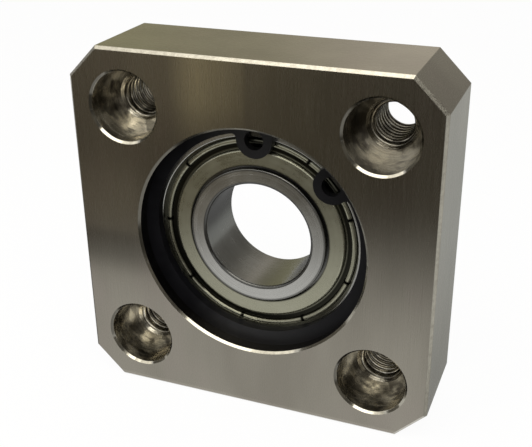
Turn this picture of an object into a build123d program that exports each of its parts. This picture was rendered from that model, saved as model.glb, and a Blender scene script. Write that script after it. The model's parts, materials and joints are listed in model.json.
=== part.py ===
from build123d import *
from math import cos, hypot, radians, sin
import os

# Square housing: the shaft axis is Y, the front faces -Y, +Z is up
body_width = 50.0
body_thickness = 14.0
corner_cut = 4.2
edge_bevel = 0.4

# Screw holes, counterbored at the front and tapped through to the back
bolt_pitch = 34.4
screw_head_bore = 9.5
screw_head_depth = 5.4
thread_diameter = 6.0
hole_rim_bevel = 0.3
thread_entry_bevel = 0.35
thread_exit_bevel = 0.3

# Bearing bore: a lip, the groove of the retaining ring, the seat, a shoulder at the back
front_lip = 2.0
bore_rim_bevel = 0.3
shoulder_overlap = 2.0
seat_clearance = 0.01

# Internal retaining ring, sprung into its groove in front of the bearing
ring_thickness = 1.2
ring_groove_depth = 0.85
ring_groove_slack = 0.1
ring_radial_play = 0.02
ring_band_widest = 3.2
ring_band_narrowest = 1.7
ring_lug_height = 5.2
ring_lug_width = 4.9
ring_lug_hole = 2.6
ring_lug_fillet = 0.6
ring_fillet_share = 0.8
ring_lug_angle = 24.0
ring_gap_direction = 65.0

# Deep groove ball bearing
bearing_bore = 15.0
bearing_outside = 32.0
bearing_width = 9.0
bearing_corner = 0.4
bearing_land_corner = 0.15
ball_diameter = 4.762
ball_count = 9
first_ball_angle = 10.0
ball_play = 0.01
race_conformity = 0.52
race_depth = 0.8

# Pressed shields, crimped into the outer ring and clear of the inner ring
shield_thickness = 0.3
shield_recess = 0.45
shield_inner_step = 0.47
shield_outer_step = 0.77
shield_inner_gap = 0.3
shield_groove_depth = 0.15
shield_edge_play = 0.02
shield_valley_depth = 0.55
shield_valley_width = 1.0
shield_rim_width = 0.42
shield_foot_width = 0.42
shield_bend_lean = 0.08
shield_bend_radius = 0.18
shield_slit_width = 0.26
shield_slit_count = 9
first_slit_angle = 18.4

# Two-piece ribbon cage, riveted together between the balls
cage_thickness = 0.4
cage_width = 1.8
cage_ball_play = 0.08
rivet_diameter = 0.9
rivet_head_diameter = 1.5
rivet_head_height = 0.3

# Places along the shaft axis, from the front face to the back
front_y = -body_thickness / 2
back_y = body_thickness / 2
ring_front_y = front_y + front_lip
bearing_front_y = ring_front_y + ring_thickness
bearing_back_y = bearing_front_y + bearing_width
bearing_centre_y = (bearing_front_y + bearing_back_y) / 2

# Radii of the seat and the retaining ring
seat_radius = bearing_outside / 2 + seat_clearance
ring_groove_radius = seat_radius + ring_groove_depth
ring_outer_radius = ring_groove_radius - ring_radial_play
back_opening_radius = seat_radius - shoulder_overlap

# Radii inside the bearing, worked out from the balls and their pitch circle
ball_radius = ball_diameter / 2
pitch_radius = (bearing_bore + bearing_outside) / 4
race_radius = race_conformity * ball_diameter
inner_race_bottom = pitch_radius - ball_radius - ball_play
outer_race_bottom = pitch_radius + ball_radius + ball_play
inner_shoulder = inner_race_bottom + race_depth
outer_shoulder = outer_race_bottom - race_depth
inner_land = inner_shoulder - shield_inner_step
outer_land = outer_shoulder + shield_outer_step
ball_step = 360 / ball_count

# Depths of the shields behind the faces of the bearing
shield_flat_back = shield_recess + shield_thickness
shield_foot_back = shield_flat_back + shield_valley_depth
shield_foot_front = shield_foot_back - shield_thickness


def front_plane(y):
    """Drawing plane seen from the front at a place along the shaft axis: x is X, y is Z."""
    return Plane(origin=(0, y, 0), x_dir=(1, 0, 0), z_dir=(0, -1, 0))


def turned(points):
    """Solid turned about the Y axis from a closed outline of (radius, y) points."""
    return revolve(make_face(Polyline(*points, close=True)), Axis.Y)


def around(shape, angle):
    """Copy of a shape turned about the shaft axis, counter-clockwise seen from the front."""
    return Rot(0, -angle, 0) * shape


def screw_hole():
    """Counterbore for a socket head and the tapped hole behind it, on the Y axis."""
    head_radius = screw_head_bore / 2
    thread_radius = thread_diameter / 2
    floor_y = front_y + screw_head_depth
    return turned([
        (0, front_y),
        (head_radius + hole_rim_bevel, front_y),
        (head_radius, front_y + hole_rim_bevel),
        (head_radius, floor_y),
        (thread_radius + thread_entry_bevel, floor_y),
        (thread_radius, floor_y + thread_entry_bevel),
        (thread_radius, back_y - thread_exit_bevel),
        (thread_radius + thread_exit_bevel, back_y),
        (0, back_y),
    ])


def bearing_bore_cut():
    """Stepped bore of the housing, with the groove of the retaining ring near its mouth."""
    groove_back_y = bearing_front_y + ring_groove_slack
    return turned([
        (0, front_y),
        (seat_radius + bore_rim_bevel, front_y),
        (seat_radius, front_y + bore_rim_bevel),
        (seat_radius, ring_front_y),
        (ring_groove_radius, ring_front_y),
        (ring_groove_radius, groove_back_y),
        (seat_radius, groove_back_y),
        (seat_radius, bearing_back_y),
        (back_opening_radius, bearing_back_y),
        (back_opening_radius, back_y - edge_bevel),
        (back_opening_radius + edge_bevel, back_y),
        (0, back_y),
    ])


def housing():
    """One machined block: cut corners, bevelled edges, the bearing bore and four screw holes."""
    outline = Rectangle(body_width, body_width)
    outline = chamfer(outline.vertices(), corner_cut)
    block = extrude(front_plane(back_y) * outline, body_thickness)
    block = chamfer(block.faces().filter_by(Axis.Y).edges(), edge_bevel)
    block -= bearing_bore_cut()
    reach = bolt_pitch / 2
    for x in (-reach, reach):
        for z in (-reach, reach):
            block -= Pos(x, 0, z) * screw_hole()
    return block


def retaining_ring():
    """Spring band, widest opposite its gap, with a drilled lug at each end."""
    lug_radius = ring_lug_width / 2
    lug_centre = ring_outer_radius - ring_lug_height + lug_radius
    inner_radius = ring_outer_radius - (ring_band_widest + ring_band_narrowest) / 2
    inner_centre = (ring_band_widest - ring_band_narrowest) / 2
    band = Circle(ring_outer_radius) - Pos(inner_centre, 0) * Circle(inner_radius)

    # The gap is a wedge whose sides run along the inner sides of the two lugs
    reach = 2 * ring_outer_radius
    side = Vector(reach, -lug_radius).rotate(Axis.Z, ring_lug_angle)
    tip = lug_radius / sin(radians(ring_lug_angle))
    band -= make_face(Polyline((tip, 0), (side.X, side.Y), (side.X, -side.Y), close=True))

    for angle in (-ring_lug_angle, ring_lug_angle):
        lug = Pos(lug_centre, 0) * Circle(lug_radius)
        lug += Pos(lug_centre + lug_radius, 0) * Rectangle(2 * lug_radius, ring_lug_width)
        band += Rot(0, 0, angle) * (lug & Circle(ring_outer_radius))

    # Fillets where the lugs run into the inner edge of the band, within the lugs' straight sides
    def on_inner_edge(vertex):
        return abs(hypot(vertex.X - inner_centre, vertex.Y) - inner_radius) < 0.001

    straight_side = min(edge.length for edge in band.edges())
    fillet_radius = min(ring_lug_fillet, ring_fillet_share * straight_side)
    band = fillet(band.vertices().filter_by(on_inner_edge), fillet_radius)
    for angle in (-ring_lug_angle, ring_lug_angle):
        band -= Rot(0, 0, angle) * Pos(lug_centre, 0) * Circle(ring_lug_hole / 2)
    ring = extrude(front_plane(bearing_front_y) * band, ring_thickness)
    return around(ring, ring_gap_direction)


def race(bottom_radius, side):
    """Disc that cuts a raceway into a ring's section: side is 1 outside the balls, -1 inside."""
    return Pos(bottom_radius - side * race_radius, bearing_centre_y) * Circle(race_radius)


def on_bearing_face(point):
    return abs(abs(point.Y - bearing_centre_y) - bearing_width / 2) < 0.001


def ring_section(half_outline, roundings):
    """Section of a bearing ring from its front half, given as (radius, depth behind the face).

    The corners on the two faces are rounded, each by the amount given for its radius.
    """
    front = [(radius, bearing_front_y + depth) for radius, depth in half_outline]
    back = [(radius, bearing_back_y - depth) for radius, depth in reversed(half_outline)]
    section = make_face(Polyline(*front, *back, close=True))
    for radius, rounding in roundings:
        corners = [corner for corner in section.vertices()
                   if on_bearing_face(corner) and abs(corner.X - radius) < 0.001]
        section = fillet(corners, rounding)
    return section


def bearing_outer_ring():
    """Outer ring with its raceway, and a stepped groove for a shield at each face."""
    outside = bearing_outside / 2
    groove_radius = outer_land + shield_groove_depth
    outline = [
        (outside, 0),
        (outer_land, 0),
        (outer_land, shield_foot_front - shield_edge_play),
        (groove_radius, shield_foot_front - shield_edge_play),
        (groove_radius, shield_foot_back),
        (outer_shoulder, shield_foot_back),
    ]
    section = ring_section(outline, [(outside, bearing_corner), (outer_land, bearing_land_corner)])
    return revolve(section - race(outer_race_bottom, 1), Axis.Y)


def bearing_inner_ring():
    """Inner ring with its raceway, stepped down at each face to pass inside the shields."""
    bore = bearing_bore / 2
    step_depth = shield_flat_back + shield_inner_gap
    outline = [
        (bore, 0),
        (inner_land, 0),
        (inner_land, step_depth),
        (inner_shoulder, step_depth),
    ]
    section = ring_section(outline, [(bore, bearing_corner), (inner_land, bearing_land_corner)])
    return revolve(section - race(inner_race_bottom, -1), Axis.Y)


def front_shield():
    """Shield at the front face: flat ring, sunken valley and a rim crimped into the outer ring."""
    flat_depth = shield_recess + shield_thickness / 2
    sunken_depth = flat_depth + shield_valley_depth
    leg_radius = outer_land - shield_foot_width
    rim_outer = leg_radius - shield_bend_lean
    rim_inner = rim_outer - shield_rim_width
    valley_outer = rim_inner - shield_bend_lean
    valley_inner = valley_outer - shield_valley_width
    path = [
        (inner_land + shield_inner_gap, flat_depth),
        (valley_inner - shield_bend_lean, flat_depth),
        (valley_inner, sunken_depth),
        (valley_outer, sunken_depth),
        (rim_inner, flat_depth),
        (rim_outer, flat_depth),
        (leg_radius, sunken_depth),
        (outer_land + shield_groove_depth - shield_edge_play, sunken_depth),
    ]
    placed = [(radius, bearing_front_y + depth) for radius, depth in path]
    sheet_line = FilletPolyline(*placed, radius=shield_bend_radius)
    shield = revolve(trace(sheet_line, shield_thickness), Axis.Y)

    # Slits across the rim, which let it close as it is crimped
    slit_length = leg_radius + shield_thickness - valley_outer
    slit = Box(slit_length, shield_foot_front, shield_slit_width)
    slit = Pos(valley_outer + slit_length / 2, bearing_front_y + shield_foot_front / 2, 0) * slit
    for number in range(shield_slit_count):
        shield -= around(slit, first_slit_angle + number * 360 / shield_slit_count)
    return shield


def rear_shield():
    """The same shield, facing the back of the bearing."""
    return front_shield().mirror(Plane.XZ.offset(-bearing_centre_y))


def on_pitch_circle(angle):
    """Place on the balls' pitch circle, at an angle counter-clockwise seen from the front."""
    x = pitch_radius * cos(radians(angle))
    z = pitch_radius * sin(radians(angle))
    return Pos(x, bearing_centre_y, z)


def sphere_at(angle, radius):
    """Sphere on the balls' pitch circle, with its poles along the shaft axis."""
    return on_pitch_circle(angle) * Rot(90, 0, 0) * Sphere(radius)


def ball_angles():
    return [first_ball_angle + number * ball_step for number in range(ball_count)]


def rivet_angles():
    return [angle + ball_step / 2 for angle in ball_angles()]


def cage_half(side):
    """Pressed ribbon on one side of the balls: flats for the rivets and a pocket round each ball."""
    pocket_radius = ball_radius + cage_ball_play
    outer_radius = pocket_radius + cage_thickness
    inner_edge = pitch_radius - cage_width / 2
    outer_edge = pitch_radius + cage_width / 2

    def ring(depth):
        low, high = sorted((bearing_centre_y, bearing_centre_y + side * depth))
        return turned([(inner_edge, low), (outer_edge, low), (outer_edge, high), (inner_edge, high)])

    cage = ring(cage_thickness)
    band = ring(outer_radius)
    for angle in ball_angles():
        cage += band & sphere_at(angle, outer_radius)
    for angle in ball_angles():
        cage -= sphere_at(angle, pocket_radius)
    for angle in rivet_angles():
        cage -= on_pitch_circle(angle) * Rot(90, 0, 0) * Cylinder(rivet_diameter / 2, 2 * outer_radius)
    return cage


def cage_rivet(angle):
    """Rivet through both halves of the cage, with a flat head at each end."""
    shank = rivet_diameter / 2
    head = rivet_head_diameter / 2
    grip = cage_thickness
    top = cage_thickness + rivet_head_height
    rivet = turned([(0, -top), (head, -top), (head, -grip), (shank, -grip), (shank, grip),
                    (head, grip), (head, top), (0, top)])
    return on_pitch_circle(angle) * rivet


nodes = {
    "housing": housing(),
    "retaining_ring": retaining_ring(),
    "bearing_outer_ring": bearing_outer_ring(),
    "bearing_inner_ring": bearing_inner_ring(),
    "front_shield": front_shield(),
    "rear_shield": rear_shield(),
    "front_cage_half": cage_half(-1),
    "rear_cage_half": cage_half(1),
}
for number, angle in enumerate(ball_angles(), start=1):
    nodes[f"ball_{number}"] = sphere_at(angle, ball_radius)
for number, angle in enumerate(rivet_angles(), start=1):
    nodes[f"cage_rivet_{number}"] = cage_rivet(angle)

os.makedirs("parts", exist_ok=True)
for name, shape in nodes.items():
    export_step(shape, f"parts/{name}.step")
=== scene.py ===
# %% [markdown]
# A square flanged bearing unit: a block of ground steel with a thin warm nickel plating holds
# a small ball bearing, and a black retaining ring keeps the bearing in its seat. The block,
# the ring and every piece of the bearing come from the CAD model, so this lesson gives them
# their finishes, cuts the screw threads and builds the studio round them.

# %% Load the frame
import bpy
import json
from math import cos, pi, radians, sin
from mathutils import Euler, Matrix, Vector

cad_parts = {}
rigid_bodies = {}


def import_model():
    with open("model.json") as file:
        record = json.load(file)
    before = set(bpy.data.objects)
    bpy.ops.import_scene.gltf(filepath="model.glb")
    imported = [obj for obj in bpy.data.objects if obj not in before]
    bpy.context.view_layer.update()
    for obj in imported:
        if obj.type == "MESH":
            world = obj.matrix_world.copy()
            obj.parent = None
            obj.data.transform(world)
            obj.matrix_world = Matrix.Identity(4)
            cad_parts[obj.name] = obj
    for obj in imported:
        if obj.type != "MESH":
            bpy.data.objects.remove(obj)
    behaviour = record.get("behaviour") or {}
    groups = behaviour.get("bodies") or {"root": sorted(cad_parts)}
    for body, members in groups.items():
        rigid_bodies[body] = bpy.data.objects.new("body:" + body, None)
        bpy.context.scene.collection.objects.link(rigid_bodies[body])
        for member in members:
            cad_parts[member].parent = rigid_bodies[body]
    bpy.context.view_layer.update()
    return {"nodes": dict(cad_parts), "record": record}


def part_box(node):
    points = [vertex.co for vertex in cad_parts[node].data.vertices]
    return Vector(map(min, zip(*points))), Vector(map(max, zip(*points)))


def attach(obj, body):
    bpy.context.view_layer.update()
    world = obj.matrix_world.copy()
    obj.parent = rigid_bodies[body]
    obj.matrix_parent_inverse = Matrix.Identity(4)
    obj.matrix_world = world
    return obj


for leftover in list(bpy.data.objects):
    bpy.data.objects.remove(leftover)
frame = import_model()
mm = 0.001
print("loaded", len(frame["nodes"]), "nodes")

# %% [markdown]
# The sizes that the CAD model states are read from it, so that a finish or a thread follows
# the block when the block changes. Bevels and depths, which it doesn't state, are written
# here. The front of the block looks along -Y, and the shaft axis is Y.

# %% Sizes of the block
block_low, block_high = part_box("housing")
front_y, back_y = block_low.y, block_high.y
floor_z = block_low.z
front_mm, back_mm = front_y / mm, back_y / mm
side_mm, top_mm = block_high.x / mm, block_high.z / mm

mounts = {mount["name"]: mount["dims"] for mount in frame["record"]["mounts"]}
screw_pitch = mounts["screw_holes"]["spacing_x_mm"] * mm
thread_root = mounts["screw_holes"]["hole_r_mm"] * mm
head_bore = mounts["head_counterbores"]["hole_r_mm"] * mm
shaft_radius_mm = mounts["shaft_bore"]["r_mm"]
seat_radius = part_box("bearing_outer_ring")[1].x

head_depth = 5.4 * mm
head_floor_y = front_y + head_depth
thread_bevel = 0.35 * mm
hole_rim_bevel = 0.3 * mm
edge_bevel = 0.4 * mm
back_opening = 14.01 * mm
corner_cut = 4.2 * mm
print("block", [round(v / mm, 2) for v in (block_high - block_low)], "mm")

# %% [markdown]
# The camera stands a little to the right of the block and above it, as a hand-held camera
# would for a small part on a table. Its place is given as two angles and a distance from a
# point at the middle of the block, which is easier to adjust than three coordinates.

# %% Camera
camera_azimuth = 21.8
camera_elevation = 25.2
camera_roll = -0.7
camera_distance = 125 * mm
camera_aim = Vector((-0.2, 0, 0.26)) * mm
camera_sensor = 36.0
camera_lens = 61.46
nearest_seen, farthest_seen = 1 * mm, 10

turn = Euler((radians(90 - camera_elevation), 0, radians(camera_azimuth))).to_matrix()
turn = turn @ Matrix.Rotation(radians(camera_roll), 3, "Z")
camera_data = bpy.data.cameras.new("camera")
camera_data.sensor_width = camera_sensor
camera_data.lens = camera_lens
camera_data.clip_start = nearest_seen
camera_data.clip_end = farthest_seen
camera = bpy.data.objects.new("camera", camera_data)
camera.matrix_world = turn.to_4x4()
camera.location = camera_aim + turn @ Vector((0, 0, camera_distance))
bpy.context.scene.collection.objects.link(camera)
bpy.context.scene.camera = camera
print("camera at", [round(v / mm, 1) for v in camera.location], "mm")

# %% [markdown]
# Every material below is a small network of nodes, and a few helpers keep the networks short.
# One adds a node and fills its sockets, and the others are the nodes used most often. A
# socket takes a plain value, or the output of another node, which is then linked.

# %% Helpers for nodes
def fill(tree, socket, value):
    """Set a socket to a value, or link it to another node's output."""
    if isinstance(value, bpy.types.NodeSocket):
        tree.links.new(value, socket)
    else:
        socket.default_value = value


def add_node(tree, kind, inputs=None, **settings):
    """Add a node, apply its settings, and fill its sockets by name or number."""
    node = tree.nodes.new(kind)
    for name, value in settings.items():
        setattr(node, name, value)
    for name, value in (inputs or {}).items():
        fill(tree, node.inputs[name], value)
    return node


def math(tree, operation, *values):
    """Output of a Math node."""
    return add_node(tree, "ShaderNodeMath", dict(enumerate(values)), operation=operation).outputs[0]


def scaled(tree, value, from_low, from_high, to_low, to_high):
    """Output of a Map Range node, kept within its two ends."""
    inputs = {"Value": value, "From Min": from_low, "From Max": from_high,
              "To Min": to_low, "To Max": to_high}
    return add_node(tree, "ShaderNodeMapRange", inputs).outputs[0]


def chosen(tree, mask, where_0, where_1):
    """First value where the mask is 0, and second value where it is 1."""
    return scaled(tree, mask, 0.0, 1.0, where_0, where_1)


def blend(tree, factor, first, second):
    """Output of a colour Mix node."""
    node = tree.nodes.new("ShaderNodeMix")
    node.data_type = "RGBA"
    for place, value in ((0, factor), (6, first), (7, second)):
        fill(tree, node.inputs[place], value)
    return node.outputs[2]


def joined(tree, x, y, z):
    """Vector from three numbers."""
    return add_node(tree, "ShaderNodeCombineXYZ", {0: x, 1: y, 2: z}).outputs[0]


def spread(tree, vector):
    """The three numbers of a vector."""
    return add_node(tree, "ShaderNodeSeparateXYZ", {0: vector}).outputs


print("node helpers ready")

# %% [markdown]
# A ramp turns a number into a colour, or into a share from 0 to 1, by a short table of stops.
# The materials work in millimetres on the piece itself, which Object coordinates give.

# %% Helpers for materials
def ramp(tree, value, stops):
    """Colour that changes smoothly between stops, given as {value: colour}."""
    low, high = min(stops), max(stops)
    node = add_node(tree, "ShaderNodeValToRGB", {0: scaled(tree, value, low, high, 0.0, 1.0)})
    node.color_ramp.interpolation = "EASE"
    while len(node.color_ramp.elements) < len(stops):
        node.color_ramp.elements.new(0.5)
    for element, (place, colour) in zip(node.color_ramp.elements, sorted(stops.items())):
        element.position = (place - low) / (high - low)
        element.color = (*colour, 1)
    return node.outputs[0]


def share_ramp(tree, value, stops):
    """Share that changes smoothly between stops, given as {value: share}."""
    return ramp(tree, value, {place: (share,) * 3 for place, share in stops.items()})


def place_in_mm(tree):
    """The three coordinates of the surface in millimetres."""
    place = add_node(tree, "ShaderNodeTexCoord").outputs["Object"]
    mapping = add_node(tree, "ShaderNodeMapping", {"Vector": place, "Scale": (1 / mm,) * 3})
    return spread(tree, mapping.outputs[0])


def plain_material(name):
    """Material with no nodes yet."""
    material = bpy.data.materials.new(name)
    material.use_nodes = True
    material.node_tree.nodes.clear()
    return material, material.node_tree


def new_material(name):
    """Material with a Principled shader on its output."""
    material, tree = plain_material(name)
    shader = add_node(tree, "ShaderNodeBsdfPrincipled")
    output = add_node(tree, "ShaderNodeOutputMaterial")
    tree.links.new(shader.outputs[0], output.inputs["Surface"])
    return material, tree, shader


def add_bump(tree, shader, height, strength, depth):
    """Let a height from 0 to 1 tilt the surface, as if it stood up to depth metres out."""
    bump = add_node(tree, "ShaderNodeBump", {"Strength": strength, "Distance": depth, "Height": height})
    tree.links.new(bump.outputs[0], shader.inputs["Normal"])


print("material helpers ready")

# %% [markdown]
# The studio. The floor and the room are white to the camera and in the metal's reflections,
# through Light Path, and the floor still takes the block's soft shadow. The room also sends
# an even, weaker light to everything, so that a colour renders about as it is written.

# %% Room and floor
white = (1, 1, 1, 1)
room_light = 0.62
room_tint = (1, 0.985, 0.96, 1)
floor_radius = 700 * mm
floor_colour = (0.86, 0.855, 0.845, 1)
floor_white_share = 0.95


def seen_rays(tree):
    """1 for camera, glossy and transmission rays, and 0 for the rest."""
    path = add_node(tree, "ShaderNodeLightPath")
    seen = math(tree, "MAXIMUM", path.outputs["Is Camera Ray"], path.outputs["Is Glossy Ray"])
    return math(tree, "MAXIMUM", seen, path.outputs["Is Transmission Ray"])


world = bpy.data.worlds.new("white_room")
bpy.context.scene.world = world
world.use_nodes = True
tree = world.node_tree
tree.nodes.clear()
even_light = add_node(tree, "ShaderNodeBackground", {"Color": room_tint, "Strength": room_light})
white_room = add_node(tree, "ShaderNodeBackground", {"Color": white, "Strength": 1.0})
mixed = add_node(tree, "ShaderNodeMixShader",
                 {0: seen_rays(tree), 1: even_light.outputs[0], 2: white_room.outputs[0]})
add_node(tree, "ShaderNodeOutputWorld", {"Surface": mixed.outputs[0]})

bpy.ops.mesh.primitive_circle_add(
    vertices=96, radius=floor_radius, fill_type="NGON", location=(0, 0, floor_z))
floor = bpy.context.object
floor.name = "floor"
floor_material, tree = plain_material("pale_floor")
paint = add_node(tree, "ShaderNodeBsdfDiffuse", {"Color": floor_colour})
glow = add_node(tree, "ShaderNodeEmission", {"Color": white, "Strength": 1.0})
share = math(tree, "MULTIPLY", seen_rays(tree), floor_white_share)
mixed = add_node(tree, "ShaderNodeMixShader", {0: share, 1: paint.outputs[0], 2: glow.outputs[0]})
add_node(tree, "ShaderNodeOutputMaterial", {"Surface": mixed.outputs[0]})
floor.data.materials.append(floor_material)
print("floor at", round(floor_z / mm, 2), "mm")

# %% [markdown]
# Ground metal shows its surroundings, so a photographer shapes it with lamps and cards. Three
# softboxes hang level above and in front of the block, and the narrow bevels pick them up as
# bright lines. Their brightness is what a reflection shows, and the power follows from it.

# %% Softboxes
softbox_height = 300
softbox_tint = (1, 0.97, 0.9)


def softbox(name, radiance, x_low, x_high, y_low, y_high):
    """Area lamp facing straight down, given by its edges in millimetres."""
    lamp = bpy.data.lights.new(name, "AREA")
    lamp.shape = "RECTANGLE"
    lamp.size = (x_high - x_low) * mm
    lamp.size_y = (y_high - y_low) * mm
    lamp.energy = radiance * pi * lamp.size * lamp.size_y
    lamp.color = softbox_tint
    panel = bpy.data.objects.new(name, lamp)
    panel.location = Vector(((x_low + x_high) / 2, (y_low + y_high) / 2, softbox_height)) * mm
    panel.visible_camera = False
    bpy.context.scene.collection.objects.link(panel)


softbox("softbox_far_left", 1.7, -440, -140, -275, -72)
softbox("softbox_left", 3.4, -140, -38, -275, -72)
softbox("softbox_right", 3.8, -38, 215, -345, -72)
print("three softboxes")

# %% [markdown]
# The cards are seen only in reflections, so they cast no light and no shadow. Each has its
# own soft change of tone, worked out from the place on the card in millimetres. A face of
# the block is flat, so it shows one part of one card, and its tone is painted there.

# %% Helpers for cards
floor_gap, side_gap, end_gap = 0.4, 0.4, 0.5
card_z = floor_z / mm + floor_gap


def level_corners(x_low, x_high, y_low, y_high, z):
    """Corners of a level card."""
    return [(x_low, y_low, z), (x_high, y_low, z), (x_high, y_high, z), (x_low, y_high, z)]


def upright_corners(start, end, z_high):
    """Corners of an upright card that stands on the floor between two places x, y."""
    return [(*start, card_z), (*end, card_z), (*end, z_high), (*start, z_high)]


def tones_along(axis, tones):
    """Paint whose tone follows one coordinate of the card: 0 for x, 1 for y and 2 for z."""
    def paint(tree, *place):
        return ramp(tree, place[axis], tones)
    return paint


def card(name, corners, paint):
    """Flat card seen only in reflections, whose tone comes from paint(tree, x, y, z)."""
    mesh = bpy.data.meshes.new(name)
    mesh.from_pydata([Vector(corner) * mm for corner in corners], [], [tuple(range(len(corners)))])
    piece = bpy.data.objects.new(name, mesh)
    bpy.context.scene.collection.objects.link(piece)
    material, tree = plain_material(name)
    tone = paint(tree, *place_in_mm(tree))
    glow = add_node(tree, "ShaderNodeEmission", {"Color": tone, "Strength": 1.0})
    add_node(tree, "ShaderNodeOutputMaterial", {"Surface": glow.outputs[0]})
    mesh.materials.append(material)
    for ray in ("camera", "diffuse", "transmission", "volume_scatter", "shadow"):
        setattr(piece, f"visible_{ray}", False)


print("card helpers ready")

# %% [markdown]
# The card in front is what the ground front face shows. Near the block it is as white as the
# floor, and further off it turns dark, which gives the face its light lower half and its
# dark upper half. The dark part isn't even. A lighter band runs through it, away from the
# camera's mirror image behind the face, so that it stands upright in the reflection. At the
# left a paler and a darker level band lie before the white begins.

# %% Card in front
mirror_x, mirror_y = 41.8, 91.0
face_light = (0.86, 0.86, 0.85, 1)
face_tones = {
    -30: (0.15, 0.13, 0.10), -12: (0.14, 0.12, 0.09), 2: (0.10, 0.086, 0.058),
    26: (0.066, 0.058, 0.044), 34: (0.17, 0.16, 0.14)}
band_tone = (0.60, 0.53, 0.37, 1)
band_share = {-13: 0.0, -7: 1.0, -3: 0.75, 0.5: 0.0}
glow_tone = (0.34, 0.305, 0.24, 1)
glow_share = {-80: 0.0, -70: 0.6, -60: 0.4, -53: 1.0, -49: 0.0}
shade_tone = (0.04, 0.036, 0.03, 1)
shade_share = {-51: 0.0, -47: 1.0, -42: 0.0}


def across_face(tree, x, y):
    """Where on the face, from left to right, the camera sees a place on the card."""
    away = math(tree, "SUBTRACT", mirror_y, y)
    fan = math(tree, "DIVIDE", math(tree, "SUBTRACT", x, mirror_x), away)
    return math(tree, "ADD", math(tree, "MULTIPLY", fan, mirror_y - front_mm), mirror_x)


def dark_part(tree, across, y):
    """Tone far from the block, with its upright band and the two level ones at the left."""
    far_off = scaled(tree, y, -95.0, -150.0, 0.0, 1.0)
    band = math(tree, "MULTIPLY", share_ramp(tree, across, band_share), far_off)
    dark = blend(tree, band, ramp(tree, across, face_tones), band_tone)
    at_left = scaled(tree, across, -6.0, -14.0, 0.0, 1.0)
    for tone, stops in ((glow_tone, glow_share), (shade_tone, shade_share)):
        share = math(tree, "MULTIPLY", at_left, share_ramp(tree, y, stops))
        dark = blend(tree, share, dark, tone)
    return dark


def light_part(tree, across, x, y):
    """Share of white, which begins nearer to the block and more sharply at the left."""
    edge = scaled(tree, across, -24.0, 20.0, -38.0, -52.0)
    reach = scaled(tree, across, -24.0, 20.0, 9.0, 28.0)
    fade = math(tree, "DIVIDE", math(tree, "SUBTRACT", y, edge), reach)
    light = add_node(tree, "ShaderNodeMapRange", {"Value": fade, "From Min": -1.0, "From Max": 1.0},
                     interpolation_type="SMOOTHSTEP").outputs[0]
    to_right = math(tree, "ADD", x, math(tree, "MULTIPLY", y, 2.3))
    open_floor = math(tree, "MAXIMUM", scaled(tree, across, 26.0, 32.0, 1.0, 0.0),
                      scaled(tree, to_right, 4.0, 18.0, 0.0, 1.0))
    return math(tree, "MULTIPLY", light, open_floor)


def paint_front(tree, x, y, z):
    across = across_face(tree, x, y)
    return blend(tree, light_part(tree, across, x, y), dark_part(tree, across, y), face_light)


card("front_card", level_corners(-400, 400, -600, front_mm - end_gap, card_z), paint_front)
print("front card")

# %% [markdown]
# Six more cards stand round the block. A wall far behind tones the top face and the cut
# corner, and a card on the floor, behind the block and beside it, tones the right side and
# the inside of the bearing. That card is darker near the block and carries a painted shadow
# of the block behind it. A dark card on the floor keeps the left bevels quiet, and dark
# walls far out at both sides and a dark ceiling above the softboxes let these stand out.

# %% Cards behind, beside and above
wall_tones = {
    -420: (0.44, 0.42, 0.26), -260: (0.45, 0.42, 0.30), -110: (0.74, 0.68, 0.58),
    60: (0.5, 0.47, 0.4), 330: (0.25, 0.24, 0.215)}
rear_floor_tones = {
    -7: (0.525, 0.525, 0.5), 12: (0.535, 0.545, 0.515), 60: (0.585, 0.60, 0.58),
    160: (0.63, 0.64, 0.61)}
left_floor_tones = {-130: (0.3, 0.29, 0.27), -60: (0.09, 0.085, 0.075)}
side_wall_tones = {-20: (0.16, 0.15, 0.13), 400: (0.1, 0.095, 0.085)}
ceiling_tones = {-800: (0.3, 0.29, 0.26), 0: (0.2, 0.19, 0.17)}
# Tone of the block's painted shadow on the rear floor card.
painted_block_shadow = (0.2, 0.2, 0.2, 1)

beside_x, beside_y = side_mm + side_gap, front_mm - side_gap
rear_y = back_mm + end_gap
rear_corners = [(-150, rear_y), (beside_x, rear_y), (beside_x, beside_y),
                (600, beside_y), (600, 595), (-150, 595)]


def paint_rear_floor(tree, x, y, z):
    # Painted shadow of the block on the floor card, at its left part behind the block.
    share = scaled(tree, x, 13.0, 34.0, 0.95, 0.0)
    return blend(tree, share, ramp(tree, y, rear_floor_tones), painted_block_shadow)


card("back_wall", upright_corners((-700, 600), (700, 600), 700), tones_along(0, wall_tones))
card("rear_floor_card", [(x, y, card_z) for x, y in rear_corners], paint_rear_floor)
card("left_floor_card", level_corners(-130, -29, front_mm, 70, card_z + 0.2),
     tones_along(0, left_floor_tones))
side_walls = tones_along(2, side_wall_tones)
card("right_wall", upright_corners((450, -800), (450, -100), 480), side_walls)
card("left_wall", upright_corners((-450, -260), (-450, 100), 260), side_walls)
card("ceiling", level_corners(-700, 700, -800, 60, softbox_height + 200),
     tones_along(1, ceiling_tones))
print("six more cards")

# %% [markdown]
# The block. Its outer faces are ground, which leaves fine straight lines up and down, and
# the plating over them is thin, slightly uneven and warm. Inside the bore and the screw
# holes the tool left turning marks, and the metal there is smoother. Both kinds of line are
# noise that is stretched one way: fine across the lines, and long along them.

# %% Marks of the tools
ground_across, ground_along = 9.0, 0.12
turned_across = 7.0


def noise(tree, vector, scale, detail=3.0, roughness=0.5):
    """Output of a Noise node, from 0 to 1."""
    inputs = {"Vector": vector, "Scale": scale, "Detail": detail, "Roughness": roughness}
    return add_node(tree, "ShaderNodeTexNoise", inputs).outputs[0]


def radius_round(tree, x, z):
    """Distance from an axis along Y."""
    squares = math(tree, "ADD", math(tree, "MULTIPLY", x, x), math(tree, "MULTIPLY", z, z))
    return math(tree, "SQRT", squares)


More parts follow.
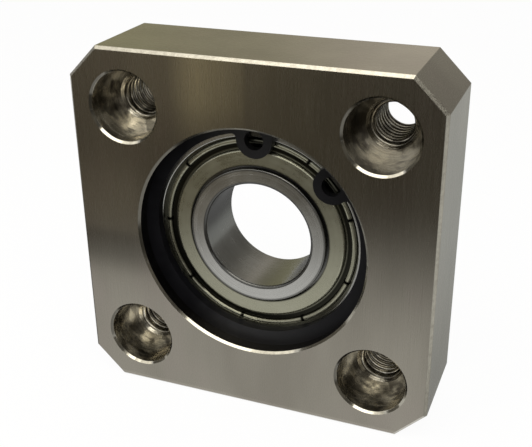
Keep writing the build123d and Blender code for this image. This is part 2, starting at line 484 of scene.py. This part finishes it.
def grinding(tree, x, y, z):
    """Fine lines from 0 to 1: upright, but from side to side on the top and the bottom."""
    fine_x, fine_y = (math(tree, "MULTIPLY", value, ground_across) for value in (x, y))
    long_x, long_z = (math(tree, "MULTIPLY", value, ground_along) for value in (x, z))
    on_top = scaled(tree, math(tree, "ABSOLUTE", z), top_mm - 0.1, top_mm - 0.02, 0.0, 1.0)
    place = blend(tree, on_top, joined(tree, fine_x, fine_y, long_z), joined(tree, long_x, fine_y, 0.0))
    return noise(tree, place, 1.0, detail=4.0, roughness=0.7)


def turning(tree, radius, y):
    """Fine rings round an axis, from 0 to 1."""
    place = joined(tree, math(tree, "MULTIPLY", radius, turned_across),
                   math(tree, "MULTIPLY", y, turned_across), 0.0)
    return noise(tree, place, 1.0, roughness=0.6)


print("marks ready")

# %% [markdown]
# One material can hold the ground faces and the turned holes, because the place on the block
# says which is which: a mask is 1 near the axis of a hole. The rims of the holes and the
# narrow bevels of the outer edges have masks of their own, since wear shows there first.

# %% Masks on the block
mask_margin = 0.02


def from_screw_row(tree, value):
    """The same coordinate, counted from the nearer row of screw holes."""
    beyond = math(tree, "SUBTRACT", math(tree, "ABSOLUTE", value), screw_pitch / 2 / mm)
    return math(tree, "MULTIPLY", beyond, math(tree, "SIGN", value))


def on_outer_bevel(tree, x, y, z):
    """1 on the narrow bevels of the block's outer edges."""
    size_x, size_y, size_z = (math(tree, "ABSOLUTE", value) for value in (x, y, z))
    past_cut = math(tree, "SUBTRACT", size_z, 2 * side_mm - corner_cut / mm)
    cut = math(tree, "MULTIPLY", math(tree, "ADD", size_x, past_cut), 0.5 ** 0.5)
    outer = math(tree, "MAXIMUM", math(tree, "MAXIMUM", size_x, size_z),
                 math(tree, "ADD", cut, side_mm))
    into_edge = math(tree, "SUBTRACT", outer, side_mm - edge_bevel / mm)
    into_face = math(tree, "SUBTRACT", size_y, back_mm - edge_bevel / mm)
    return scaled(tree, math(tree, "MINIMUM", into_edge, into_face), 0.0, 0.06, 0.0, 1.0)


def hole_masks(tree, y, hole_radius, bore_radius):
    """1 in a screw hole, in any hole, on a screw hole's wall, and on the rim of any hole."""
    def within(radius, edge, margin):
        return math(tree, "LESS_THAN", radius, math(tree, "ADD", edge, margin))

    past_floor = scaled(tree, y, head_floor_y / mm + 0.4, head_floor_y / mm + 0.5, 0.0, 1.0)
    hole_edge = chosen(tree, past_floor, (head_bore + hole_rim_bevel) / mm,
                       (thread_root + hole_rim_bevel) / mm)
    bore_edge = chosen(tree, past_floor, (seat_radius + hole_rim_bevel) / mm,
                       (back_opening + edge_bevel) / mm)
    in_hole = within(hole_radius, hole_edge, mask_margin)
    in_any = math(tree, "MAXIMUM", in_hole, within(bore_radius, bore_edge, mask_margin))
    hole_wall = within(hole_radius, hole_edge, mask_margin - hole_rim_bevel / mm)
    bore_wall = within(bore_radius, bore_edge, mask_margin - hole_rim_bevel / mm)
    rims = math(tree, "SUBTRACT", in_any, math(tree, "MAXIMUM", hole_wall, bore_wall))
    return in_hole, in_any, hole_wall, rims


print("masks ready")

# %% [markdown]
# The colours of the plating. The ground faces have soft clouds of tone, and the front has a
# paler patch above the bore and a faint band of painted shade at its left. The rims are worn
# bright, and painted shade darkens them at the left of a hole. Old oil and grime lie on the
# walls of the screw holes, and painted shade darkens the upper right one further.

# %% Colours of the plating
nickel_light = (0.315, 0.295, 0.25, 1)
nickel_dark = (0.25, 0.232, 0.195, 1)
nickel_rosy = (0.30, 0.265, 0.235, 1)
nickel_bright = (0.46, 0.44, 0.375, 1)
nickel_warm = (0.70, 0.66, 0.56, 1)
nickel_oily = (0.19, 0.175, 0.14, 1)
# Tone of the painted shade on the front face and at the left of the rims.
nickel_painted_shade = (0.10, 0.095, 0.08, 1)
# Tone of the grime in the screw holes, and of the painted shade in the upper right one.
nickel_grime_and_shade = (0.06, 0.052, 0.04, 1)
nickel_pale_patch = (0.5, 0.46, 0.35, 1)
pale_patch_across = {-11: 0.0, -6.5: 1.0, -3: 0.7, -0.8: 0.45, 0.4: 0.0}
face_shade_up = {-8.5: 0.0, -4.2: 0.42, -2: 0.4, 0: 0.0}


def ground_colour(tree, x, y, z, marks):
    """Colour of the ground faces."""
    cloud = noise(tree, joined(tree, x, y, math(tree, "MULTIPLY", z, 0.35)), 0.11, detail=2.0)
    tint_place = joined(tree, math(tree, "ADD", x, 40.0), y, math(tree, "MULTIPLY", z, 0.5))
    tint = noise(tree, tint_place, 0.16, detail=2.0)
    colour = blend(tree, scaled(tree, cloud, 0.35, 0.65, 0.0, 1.0), nickel_dark, nickel_light)
    colour = blend(tree, scaled(tree, tint, 0.5, 0.75, 0.0, 0.6), colour, nickel_rosy)
    colour = blend(tree, scaled(tree, marks, 0.3, 0.7, 0.0, 0.12), colour, nickel_dark)

    on_front = scaled(tree, y, front_mm + 0.02, front_mm + 0.01, 0.0, 1.0)
    # A paler patch on the front, above the bore.
    pale_patch = math(tree, "MULTIPLY", share_ramp(tree, x, pale_patch_across),
                 scaled(tree, z, 12.0, 19.0, 0.0, 1.0))
    colour = blend(tree, math(tree, "MULTIPLY", pale_patch, on_front), colour, nickel_pale_patch)
    # Painted shade: a faint darker band at the left of the front face.
    face_shade = math(tree, "MULTIPLY", share_ramp(tree, z, face_shade_up),
                 scaled(tree, x, -10.0, -16.0, 0.0, 1.0))
    return blend(tree, math(tree, "MULTIPLY", face_shade, on_front), colour, nickel_painted_shade)


def worn_and_shaded_colour(tree, place, colour, rims, away_x, away_z):
    """The same colour with worn bevels and rims, and painted shade at the left of each rim."""
    bevel = math(tree, "MAXIMUM", on_outer_bevel(tree, *place), rims)
    wear = noise(tree, joined(tree, *place), 1.6, detail=5.0, roughness=0.7)
    share = math(tree, "MULTIPLY", bevel, scaled(tree, wear, 0.35, 0.6, 0.35, 1.0))
    colour = blend(tree, share, colour, nickel_bright)
    # Painted shade: the rims turn dark at the left of each hole, though not at its bottom.
    at_left = math(tree, "MULTIPLY", scaled(tree, away_x, -0.35, -0.6, 0.0, 0.85),
                   scaled(tree, away_z, -0.4, -0.2, 0.0, 1.0))
    return blend(tree, math(tree, "MULTIPLY", rims, at_left), colour, nickel_painted_shade)


def hole_colour(tree, x, y, z):
    """Colour of the walls of the screw holes, with painted shade in the upper right one."""
    oily = noise(tree, joined(tree, x, y, z), 0.28, detail=2.0)
    colour = blend(tree, scaled(tree, oily, 0.38, 0.58, 0.0, 1.0), nickel_oily, nickel_warm)
    grime = noise(tree, joined(tree, x, math(tree, "MULTIPLY", y, 1.4), z), 0.42)
    colour = blend(tree, scaled(tree, grime, 0.49, 0.58, 0.0, 0.66), colour, nickel_grime_and_shade)
    # Painted shade: the upper right hole is darker than the others.
    upper_right_shade = math(tree, "MULTIPLY", scaled(tree, x, 5.0, 10.0, 0.0, 0.35),
                       scaled(tree, z, 5.0, 10.0, 0.0, 1.0))
    return blend(tree, upper_right_shade, colour, nickel_grime_and_shade)


print("plating colours ready")

# %% [markdown]
# The finish puts these together. Brushed metal smears a reflection across its marks, so the
# tangent points across them: sideways on the ground faces, along the axis on the wall of a
# hole, and away from the axis on a turned face or rim.

# %% Nickel-plated steel
across_ground_marks = (1, 0.2, 0, 1)


def nickel_plated_steel():
    material, tree, shader = new_material("nickel_plated_steel_finish")
    x, y, z = place_in_mm(tree)
    hole_x, hole_z = from_screw_row(tree, x), from_screw_row(tree, z)
    hole_radius, bore_radius = radius_round(tree, hole_x, hole_z), radius_round(tree, x, z)
    in_hole, in_any, hole_wall, rims = hole_masks(tree, y, hole_radius, bore_radius)

    radius = chosen(tree, in_hole, bore_radius, hole_radius)
    away_x = math(tree, "DIVIDE", chosen(tree, in_hole, x, hole_x), radius)
    away_z = math(tree, "DIVIDE", chosen(tree, in_hole, z, hole_z), radius)
    across = blend(tree, in_any, across_ground_marks, joined(tree, away_x, 1.0, away_z))
    marks = chosen(tree, in_any, grinding(tree, x, y, z), turning(tree, radius, y))

    colour = worn_and_shaded_colour(tree, (x, y, z), ground_colour(tree, x, y, z, marks), rims, away_x, away_z)
    colour = blend(tree, hole_wall, colour, hole_colour(tree, x, y, z))
    rough = chosen(tree, in_any, scaled(tree, marks, 0.3, 0.7, 0.2, 0.3), 0.12)
    rough = chosen(tree, hole_wall, rough, scaled(tree, marks, 0.3, 0.7, 0.12, 0.28))
    fill(tree, shader.inputs["Base Color"], colour)
    shader.inputs["Metallic"].default_value = 1.0
    fill(tree, shader.inputs["Roughness"], rough)
    fill(tree, shader.inputs["Anisotropic"], chosen(tree, hole_wall, 0.6, 0.85))
    fill(tree, shader.inputs["Tangent"], across)
    add_bump(tree, shader, marks, chosen(tree, hole_wall, 0.08, 0.35), 0.02 * mm)
    return material


nickel = nickel_plated_steel()
frame["nodes"]["housing"].material_slots[0].material = nickel
print("dressed housing")

# %% [markdown]
# The retaining ring is spring steel with a black phosphate coat: dark, satin and faintly
# grainy. The coat is not a metal to light, so its metallic value stays at 0. Handling has
# rubbed it shinier near the middle than at its sides.

# %% Phosphated spring steel
coat_dark = (0.002, 0.002, 0.0025, 1)
coat_light = (0.006, 0.006, 0.0075, 1)
rubbed_across = {-9: 0.03, 1: 0.32, 14: 0.12}


def phosphated_spring_steel():
    material, tree, shader = new_material("phosphated_spring_steel_finish")
    x, y, z = place_in_mm(tree)
    grain = noise(tree, joined(tree, x, y, z), 9.0, detail=4.0, roughness=0.65)
    cloud = noise(tree, joined(tree, x, y, z), 0.5, detail=2.0)
    rubbed_place = math(tree, "ADD", x, math(tree, "MULTIPLY", cloud, 3.0))
    fill(tree, shader.inputs["Base Color"], blend(tree, cloud, coat_dark, coat_light))
    fill(tree, shader.inputs["Specular IOR Level"], share_ramp(tree, rubbed_place, rubbed_across))
    fill(tree, shader.inputs["Roughness"], scaled(tree, grain, 0.3, 0.7, 0.34, 0.5))
    add_bump(tree, shader, grain, 0.2, 0.01 * mm)
    return material


frame["nodes"]["retaining_ring"].material_slots[0].material = phosphated_spring_steel()
print("dressed retaining_ring")

# %% [markdown]
# The front of the bearing lies deep in the block. Less light reaches it under the lugs of the
# retaining ring and in the slits of the shield's rim, and that shade is painted into its colour.
# A share says how much of its colour the metal keeps, the rest being painted shade. It follows
# the distance from the shaft axis in millimetres, and at the front also from a lug's hole and a slit.

# %% Painted shade on the bearing
lug_reach = 14.09
lug_holes = [(lug_reach * cos(radians(angle)), lug_reach * sin(radians(angle))) for angle in (41, 89)]
lug_shade = 0.22
slit_count = 9
first_slit = radians(18.4)
slit_shade = {12.8: 0.0, 13.0: 0.9, 13.9: 0.9, 14.0: 0.0}


def shade_by_slits(tree, x, y, z, radius):
    """Painted shade, near 1 at the slits in the rim of the front shield, and 0 elsewhere."""
    turned = math(tree, "SUBTRACT", math(tree, "ARCTAN2", z, x), first_slit)
    from_slit = math(tree, "MULTIPLY", math(tree, "PINGPONG", turned, pi / slit_count), radius)
    painted_shade = math(tree, "MULTIPLY", share_ramp(tree, radius, slit_shade),
                scaled(tree, from_slit, 0.17, 0.34, 1.0, 0.0))
    return math(tree, "MULTIPLY", painted_shade, scaled(tree, y, 0.0, 0.1, 1.0, 0.0))


def share_kept(tree, x, y, z, radius, kept, slits):
    """Share of its colour that the metal keeps; the rest is painted shade."""
    share = share_ramp(tree, radius, kept)
    behind = scaled(tree, y, 0.0, 0.1, 0.0, 10.0)
    for lug_x, lug_z in lug_holes:
        from_lug = radius_round(tree, math(tree, "SUBTRACT", x, lug_x), math(tree, "SUBTRACT", z, lug_z))
        from_lug = math(tree, "ADD", from_lug, behind)
        share = math(tree, "MULTIPLY", share, scaled(tree, from_lug, 1.7, 2.5, lug_shade, 1.0))
    if slits:
        unshaded = math(tree, "SUBTRACT", 1.0, shade_by_slits(tree, x, y, z, radius))
        share = math(tree, "MULTIPLY", share, unshaded)
    return share


print("shade and dirt ready")

# %% [markdown]
# The bearing's rings are hardened steel, ground while they turn, so the marks are rings round
# the shaft axis. The steel is cooler in colour than the plated block. Shields, cage, balls
# and rivets differ only in tone and polish, so one function makes all five finishes. Painted
# shade darkens the edge of the inner ring's bore, the gap round that ring, the shield's valley
# and both sides of the bead of its rim, which is left as a thin painted highlight.

# %% Turned metals
# Colour of the painted shade on the bearing.
painted_shade_colour = (0.004, 0.004, 0.003, 1)
# Share of colour that the rings keep: the low stops are painted shade at the bore's edge and round the
# inner ring.
ring_shade_stops = {
    shaft_radius_mm: 0.44, shaft_radius_mm + 0.03: 0.44, shaft_radius_mm + 0.06: 0.2,
    shaft_radius_mm + 0.35: 0.22, shaft_radius_mm + 0.44: 1.0,
    9.3: 1.0, 9.46: 0.42, 9.75: 0.3, 10.5: 0.9, 16.5: 0.9}
# Share that the shield keeps: painted shade at its inner edge, in its valley and beside its bead, which
# stays a painted bright line.
shield_shade_stops = {
    9.2: 0.1, 10.02: 0.2, 10.2: 1.0, 12.1: 1.0, 12.3: 0.4, 12.5: 0.04, 12.95: 0.06,
    13.12: 0.5, 13.25: 1.0, 13.5: 1.0, 13.7: 0.5, 13.95: 0.3, 14.2: 0.25}


def turned_metal(name, dark, light, rough, mark_bump, patchy=0.2, kept=None, slits=False):
    """Metal with fine rings round the shaft axis, soft patches of tone, and painted shade where stops
    are given.
    """
    material, tree, shader = new_material(name)
    x, y, z = place_in_mm(tree)
    radius = radius_round(tree, x, z)
    marks = turning(tree, radius, y)
    cloud = noise(tree, joined(tree, x, y, z), patchy, detail=4.0)
    tone = math(tree, "ADD", math(tree, "MULTIPLY", marks, 0.35), math(tree, "MULTIPLY", cloud, 0.65))
    colour = blend(tree, scaled(tree, tone, 0.35, 0.65, 0.0, 1.0), dark, light)
    if kept:
        colour = blend(tree, share_kept(tree, x, y, z, radius, kept, slits), painted_shade_colour, colour)
    fill(tree, shader.inputs["Base Color"], colour)
    shader.inputs["Metallic"].default_value = 1.0
    fill(tree, shader.inputs["Roughness"], scaled(tree, tone, 0.35, 0.65, *rough))
    shader.inputs["Anisotropic"].default_value = 0.5
    shader.inputs["Anisotropic Rotation"].default_value = 0.25
    tangent = add_node(tree, "ShaderNodeTangent", direction_type="RADIAL", axis="Y")
    tree.links.new(tangent.outputs[0], shader.inputs["Tangent"])
    add_bump(tree, shader, marks, mark_bump, 0.02 * mm)
    return material


turned_looks = {
    "bearing_steel": dict(
        dark=(0.425, 0.423, 0.402, 1), light=(0.53, 0.528, 0.505, 1), rough=(0.2, 0.3),
        mark_bump=0.2, kept=ring_shade_stops),
    "shield_sheet": dict(
        dark=(0.342, 0.337, 0.256, 1), light=(0.398, 0.393, 0.303, 1), rough=(0.25, 0.32),
        mark_bump=0.02, patchy=0.45, kept=shield_shade_stops, slits=True),
    "cage_sheet": dict(
        dark=(0.4, 0.4, 0.38, 1), light=(0.5, 0.5, 0.47, 1), rough=(0.25, 0.4), mark_bump=0.05),
    "polished_ball_steel": dict(
        dark=(0.58, 0.58, 0.58, 1), light=(0.64, 0.64, 0.64, 1), rough=(0.05, 0.08), mark_bump=0.0),
    "rivet_steel": dict(
        dark=(0.4, 0.4, 0.39, 1), light=(0.5, 0.5, 0.48, 1), rough=(0.25, 0.4), mark_bump=0.05),
}
finishes = {slot: turned_metal(slot + "_finish", **look) for slot, look in turned_looks.items()}
print("turned finishes:", list(finishes))

# %% [markdown]
# The CAD model's own list says which slot each piece of the bearing has, and the slot's
# finish takes its place.

# %% Dress the bearing
slots = {part["node"]: part["material_slot"] for part in frame["record"]["subparts"]}
turned_nodes = [name for name, slot in slots.items() if slot in finishes]
for name in turned_nodes:
    frame["nodes"][name].material_slots[0].material = finishes[slots[name]]
print("dressed", turned_nodes)

# %% [markdown]
# The four screw holes are tapped behind their counterbores. The CAD model stops at the root
# of the thread, and the ridge that stands inside it is a trapezoid carried along a helix.
# The Spiral curve and Curve to Mesh nodes make exactly that. Set Position then cuts the
# ridge to the length of the hole and slopes both its ends, and one thread is repeated at
# the four corners of a grid.

# %% One thread as Geometry Nodes
ridge_foot, ridge_crest = 0.875, 0.25
helix_steps = 40


def thread_ridge(tree, given):
    """Ridge along a helix that starts one turn before the hole and ends one turn after it."""
    root, height, pitch, sunk = (
        given[name] for name in ("Root Radius", "Thread Height", "Thread Pitch", "Sunk"))
    length = math(tree, "SUBTRACT", given["End"], given["Start"])
    turns = math(tree, "ADD", math(tree, "DIVIDE", length, pitch), 2.0)
    deep = math(tree, "ADD", height, sunk)
    inward = math(tree, "SUBTRACT", math(tree, "MULTIPLY", deep, 0.5), sunk)
    middle = math(tree, "SUBTRACT", root, inward)
    helix = add_node(tree, "GeometryNodeCurveSpiral", {
        "Resolution": helix_steps, "Rotations": turns, "Start Radius": middle, "End Radius": middle,
        "Height": math(tree, "MULTIPLY", turns, pitch), "Reverse": True})
    level = add_node(tree, "GeometryNodeSetCurveNormal", {"Curve": helix.outputs[0]}, mode="Z_UP")
    section = add_node(tree, "GeometryNodeCurvePrimitiveQuadrilateral", {
        "Height": deep, "Bottom Width": math(tree, "MULTIPLY", pitch, ridge_foot),
        "Top Width": math(tree, "MULTIPLY", pitch, ridge_crest), "Offset": 0.0}, mode="TRAPEZOID")
    section = add_node(tree, "GeometryNodeTransform", {
        "Geometry": section.outputs[0], "Rotation": Euler((0, 0, radians(90)))})
    ridge = add_node(tree, "GeometryNodeCurveToMesh", {
        "Curve": level.outputs[0], "Profile Curve": section.outputs[0], "Fill Caps": True})
    along = joined(tree, 0.0, math(tree, "SUBTRACT", given["Start"], pitch), 0.0)
    return add_node(tree, "GeometryNodeTransform", {
        "Geometry": ridge.outputs[0], "Translation": along, "Rotation": Euler((radians(-90), 0, 0))})


def cut_to_hole(tree, ridge, root, start, end):
    """Ridge within its two ends, and near them no higher than its distance from them."""
    x, y, z = spread(tree, add_node(tree, "GeometryNodeInputPosition").outputs[0])
    inside = math(tree, "MINIMUM", math(tree, "MAXIMUM", y, start), end)
    to_end = math(tree, "MINIMUM", math(tree, "SUBTRACT", inside, start),
                  math(tree, "SUBTRACT", end, inside))
    radius = radius_round(tree, x, z)
    least = math(tree, "SUBTRACT", root, to_end)
    grow = math(tree, "DIVIDE", math(tree, "MAXIMUM", radius, least), radius)
    trimmed = joined(tree, math(tree, "MULTIPLY", x, grow), inside, math(tree, "MULTIPLY", z, grow))
    return add_node(tree, "GeometryNodeSetPosition", {
        "Geometry": ridge.outputs[0], "Position": trimmed})


print("thread helpers ready")

# %% [markdown]
# The tree has its sizes as inputs, so that they can be changed in one place, and it gives
# one mesh with all four threads. They ride with the block and take its finish.

# %% Screw threads
thread_pitch = 1.0 * mm
thread_height = 0.5 * mm
thread_sunk = 0.02 * mm
thread_end_y = back_y - 0.3 * mm


def screw_thread_tree():
    tree = bpy.data.node_groups.new("screw_threads", "GeometryNodeTree")
    tree.interface.new_socket("Geometry", in_out="OUTPUT", socket_type="NodeSocketGeometry")
    tree.interface.new_socket("Finish", in_out="INPUT", socket_type="NodeSocketMaterial")
    for name in ("Root Radius", "Thread Height", "Thread Pitch", "Sunk", "Start", "End", "Hole Pitch"):
        tree.interface.new_socket(name, in_out="INPUT", socket_type="NodeSocketFloat")
    given = add_node(tree, "NodeGroupInput").outputs
    ridge = thread_ridge(tree, given)
    ridge = cut_to_hole(tree, ridge, given["Root Radius"], given["Start"], given["End"])

    # One thread in each corner of the bolt square
    square = add_node(tree, "GeometryNodeMeshGrid", {
        "Size X": given["Hole Pitch"], "Size Y": given["Hole Pitch"], "Vertices X": 2, "Vertices Y": 2})
    square = add_node(tree, "GeometryNodeTransform", {
        "Geometry": square.outputs[0], "Rotation": Euler((radians(90), 0, 0))})
    placed = add_node(tree, "GeometryNodeInstanceOnPoints", {
        "Points": square.outputs[0], "Instance": ridge.outputs[0]})
    real = add_node(tree, "GeometryNodeRealizeInstances", {0: placed.outputs[0]})
    finished = add_node(tree, "GeometryNodeSetMaterial", {
        "Geometry": real.outputs[0], "Material": given["Finish"]})
    output = add_node(tree, "NodeGroupOutput")
    tree.links.new(finished.outputs[0], output.inputs[0])
    return tree


def run_tree(name, tree, values):
    """Plain mesh from a Geometry Nodes tree whose inputs are given by name."""
    holder = bpy.data.objects.new(name, bpy.data.meshes.new(name))
    bpy.context.scene.collection.objects.link(holder)
    modifier = holder.modifiers.new(name, "NODES")
    modifier.node_group = tree
    for item in tree.interface.items_tree:
        if item.item_type == "SOCKET" and item.in_out == "INPUT":
            modifier[item.identifier] = values[item.name]
    bpy.context.view_layer.update()
    evaluated = holder.evaluated_get(bpy.context.evaluated_depsgraph_get())
    mesh = bpy.data.meshes.new_from_object(evaluated)
    while mesh.materials and mesh.materials[0] is None:
        mesh.materials.pop(index=0)
    holder.modifiers.remove(modifier)
    holder.data = mesh
    mesh.name = name
    return holder


threads = run_tree("screw_hole_threads", screw_thread_tree(), {
    "Finish": nickel, "Root Radius": thread_root, "Thread Height": thread_height,
    "Thread Pitch": thread_pitch, "Sunk": thread_sunk, "Start": head_floor_y + thread_bevel,
    "End": thread_end_y, "Hole Pitch": screw_pitch})
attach(threads, "housing")
reach = [max(v.co[axis] for v in threads.data.vertices) / mm for axis in range(3)]
print("threads:", len(threads.data.polygons), "faces, reach", [round(v, 2) for v in reach], "mm")

# %% Colour view
bpy.context.scene.view_settings.view_transform = "Standard"
